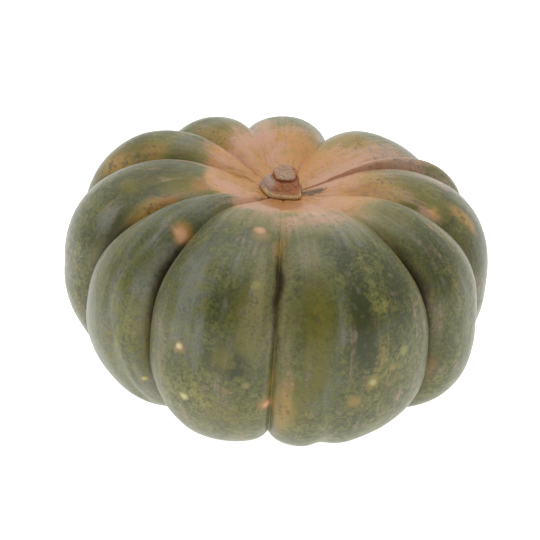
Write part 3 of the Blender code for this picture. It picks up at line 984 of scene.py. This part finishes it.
class MESH_OT_squash_stem(bpy.types.Operator):
    """Build the corky stem over its solid."""

    bl_idname = "mesh.squash_stem"
    bl_label = "Squash Stem"

    def execute(self, context):
        sizes, fruit = context.scene.squash_stem, context.scene.squash_fruit
        mesh, column, row = sphere_grid("stem bark", STEM_COLUMNS, STEM_ROWS)
        profile = stem_profile(sizes)
        steps = np.concatenate([[0], np.cumsum(np.hypot(*np.diff(profile, axis=0).T))])
        run = (1 - row / STEM_ROWS) * steps[-1]
        height, radius = np.interp(run, steps, profile[:, 0]), np.interp(run, steps, profile[:, 1])
        turn = column / STEM_COLUMNS * math.tau
        lobes = STEM_LOBE_DEPTH * np.cos(STEM_LOBES * (turn - STEM_LOBE_TURN))
        low = 1 - smooth_step(height, *STEM_RIGHT_FADES)
        narrower = STEM_RIGHT_SHARE * low * smooth_step(np.cos(turn - STEM_RIGHT_TURN), 0.0, 1.0)
        radius = radius * (1 + lobes - narrower)
        x, y = radius * np.cos(turn), radius * np.sin(turn)
        rough = noise_at(np.stack([x, y, height * BARK_DRAWN_OUT], 1), ROUGH_BARK)
        swell = 1 + rough * smooth_step(height, *BARK_ROUGH_FROM)
        x, y = x * swell, y * swell
        bark_at_right = smooth_step(x + RIGHT_EDGE_SLANT * y, *RIGHT_EDGE_STARTS)
        tilt = smooth_step(height / sizes.height, CUT_STARTS)
        lifted = height + CUT_SLOPE * y * tilt
        left = smooth_step(-np.cos(turn), *STEM_BULGE_SIDE)
        off_bulge = (height - STEM_BULGE_HEIGHT) / STEM_BULGE_SPREAD
        lifted += STEM_BULGE * left * np.exp(-(off_bulge**2))
        on_cut = smooth_step(run - steps[CUT_EDGE_POINT], 0, CUT_EDGE)
        lifted += on_cut * noise_at(np.stack([x, y, height], 1), ROUGH_CUT)
        _, crest_radius, crest_height, _, _, _ = crest_line(fruit)
        above = slice(CREST_SAMPLES // 2)
        seat = np.interp(SEAT_RADIUS, crest_radius[above], crest_height[above])
        x, y, z = lean(fruit, x, y, lifted + seat)
        shift = fruit.standing_shift
        places = np.stack([x + shift[0], y + shift[1], z], 1)
        mesh.vertices.foreach_set("co", places.astype(np.float32).ravel())
        mesh.update()
        front = smooth_step(-np.sin(turn), *RIM_SIDE)
        sideways = smooth_step(-np.cos(turn), *FLANK_SIDE)
        store(mesh, {
            "cut": on_cut * (1 - RIGHT_EDGE_HIDES * bark_at_right),
            "foot": (1 - smooth_step(height, *RIM_FADES)) * front,
            # Painted shadow ring under the cut end's rim
            "waist": UNDERCUT_SHADE_STRENGTH * np.exp(-(((height - UNDERCUT_SHADE_HEIGHT) / UNDERCUT_SHADE_SPREAD) ** 2)),
            "flank": sideways * (1 - smooth_step(height, *FLANK_FADES)),
        })
        finish_piece(mesh, "stem_bark", stem_finish(sizes), "stem")
        return {"FINISHED"}


# The softbox overhead: place, width, height and watts
SOFTBOX_PLACE = (0.0, 0.30, 1.5)
SOFTBOX_SIZE = (1.2, 0.9)
SOFTBOX_WATTS = 6

# The tent is brightest this way. Between these shares of it, the dim room turns to lit cloth.
TENT_WAY = (0, 1, 0.6)
TENT_STARTS = -0.45
TENT_FULL = 0.5
ROOM_GLOW = 0.2
TENT_GLOW = 0.85

# The camera's film and nearest sight, in millimetres and metres, and how far right of the middle
# and how low the photograph shows the fruit, in pixels
FILM_WIDTH = 36
NEAREST_SIGHT = 0.01
PHOTO_RIGHT = 6
PHOTO_LOW = 1


def look_at(made, place, target):
    """Sets a lamp or camera at a place, with its face to the target."""
    made.location = place
    made.rotation_euler = (Vector(target) - Vector(place)).to_track_quat("-Z", "Y").to_euler()


def add_softbox(target):
    """A softbox overhead, which gives the shoulders their soft light."""
    light = bpy.data.lights.new("Top softbox", "AREA")
    light.shape = "RECTANGLE"
    light.size, light.size_y = SOFTBOX_SIZE
    light.energy = SOFTBOX_WATTS
    made = bpy.data.objects.new("Top softbox", light)
    bpy.context.scene.collection.objects.link(made)
    look_at(made, SOFTBOX_PLACE, target)


class SCENE_OT_squash_stage(bpy.types.Operator):
    """Set the floor, the lights and the camera."""

    bl_idname = "scene.squash_stage"
    bl_label = "Squash Stage"

    def execute(self, context):
        scene, sizes = context.scene, context.scene.squash_stage
        self.add_floor(sizes)
        middle = Vector((*scene.squash_fruit.standing_shift, STANDING_DROP))
        add_softbox(middle)
        scene.world = self.white_tent()
        camera = bpy.data.cameras.new("Camera")
        camera.lens = sizes.lens
        camera.sensor_width = FILM_WIDTH
        camera.clip_start = NEAREST_SIGHT
        camera.shift_x = -PHOTO_RIGHT / PHOTO_PIXELS
        camera.shift_y = PHOTO_LOW / PHOTO_PIXELS
        made = bpy.data.objects.new("Camera", camera)
        scene.collection.objects.link(made)
        away = Vector((0, -math.cos(sizes.camera_rise), math.sin(sizes.camera_rise)))
        look_at(made, middle + away * sizes.camera_distance, middle)
        scene.camera = made
        scene.view_settings.view_transform = "Standard"
        return {"FINISHED"}

    def white_tent(self):
        """White cloth all round and overhead, and a dim room behind the camera."""
        world = bpy.data.worlds.new("White tent")
        world.use_nodes = True
        tree = world.node_tree
        way = add_node(tree, "ShaderNodeTexCoord", output="Generated")
        facing = add_node(tree, "ShaderNodeVectorMath", {"operation": "DOT_PRODUCT"},
                          {0: way, 1: TENT_WAY}, "Value")
        glow = add_node(tree, "ShaderNodeMapRange", {"interpolation_type": "SMOOTHSTEP"},
                        {"Value": facing, "From Min": TENT_STARTS, "From Max": TENT_FULL,
                         "To Min": ROOM_GLOW, "To Max": TENT_GLOW})
        tree.links.new(glow, tree.nodes["Background"].inputs["Strength"])
        tree.nodes["Background"].inputs["Color"].default_value = (1, 1, 1, 1)
        return world

    def add_floor(self, sizes):
        bm = bmesh.new()
        bmesh.ops.create_grid(bm, x_segments=1, y_segments=1, size=sizes.floor_size / 2)
        mesh = bpy.data.meshes.new("Floor")
        bm.to_mesh(mesh)
        bm.free()
        # A lit table of white acrylic: it lights the fruit from below and shows almost no shadow
        finish, _, shader = new_finish("Lit white acrylic")
        shader.inputs["Base Color"].default_value = (*sizes.floor, 1)
        shader.inputs["Roughness"].default_value = 0.9
        shader.inputs["Emission Color"].default_value = (1, 1, 1, 1)
        shader.inputs["Emission Strength"].default_value = sizes.floor_glow
        mesh.materials.append(finish)
        floor = bpy.data.objects.new("Floor", mesh)
        bpy.context.scene.collection.objects.link(floor)


class VIEW3D_PT_squash(bpy.types.Panel):
    """The squash's sizes, colours and operators."""

    bl_label = "Winter Squash"
    bl_idname = "VIEW3D_PT_squash"
    bl_space_type = "VIEW_3D"
    bl_region_type = "UI"
    bl_category = "Squash"

    def draw(self, context):
        groups = (
            ("squash_fruit", "mesh.squash_fruit"),
            ("squash_stem", "mesh.squash_stem"),
            ("squash_stage", "scene.squash_stage"),
        )
        for group, operator in groups:
            settings = getattr(context.scene, group)
            box = self.layout.box()
            for name in settings.__annotations__:
                box.prop(settings, name)
            box.operator(operator)


SETTINGS = {
    "squash_fruit": SquashFruitSettings,
    "squash_stem": SquashStemSettings,
    "squash_stage": SquashStageSettings,
}
TOOLS = (MESH_OT_squash_fruit, MESH_OT_squash_stem, SCENE_OT_squash_stage, VIEW3D_PT_squash)


def register():
    for name, group in SETTINGS.items():
        bpy.utils.register_class(group)
        setattr(bpy.types.Scene, name, bpy.props.PointerProperty(type=group))
    for tool in TOOLS:
        bpy.utils.register_class(tool)


def unregister():
    for tool in reversed(TOOLS):
        bpy.utils.unregister_class(tool)
    for name, group in SETTINGS.items():
        delattr(bpy.types.Scene, name)
        bpy.utils.unregister_class(group)


def main():
    register()
    bpy.ops.mesh.squash_fruit()
    bpy.ops.mesh.squash_stem()
    bpy.ops.scene.squash_stage()


if __name__ == "__main__":
    main()
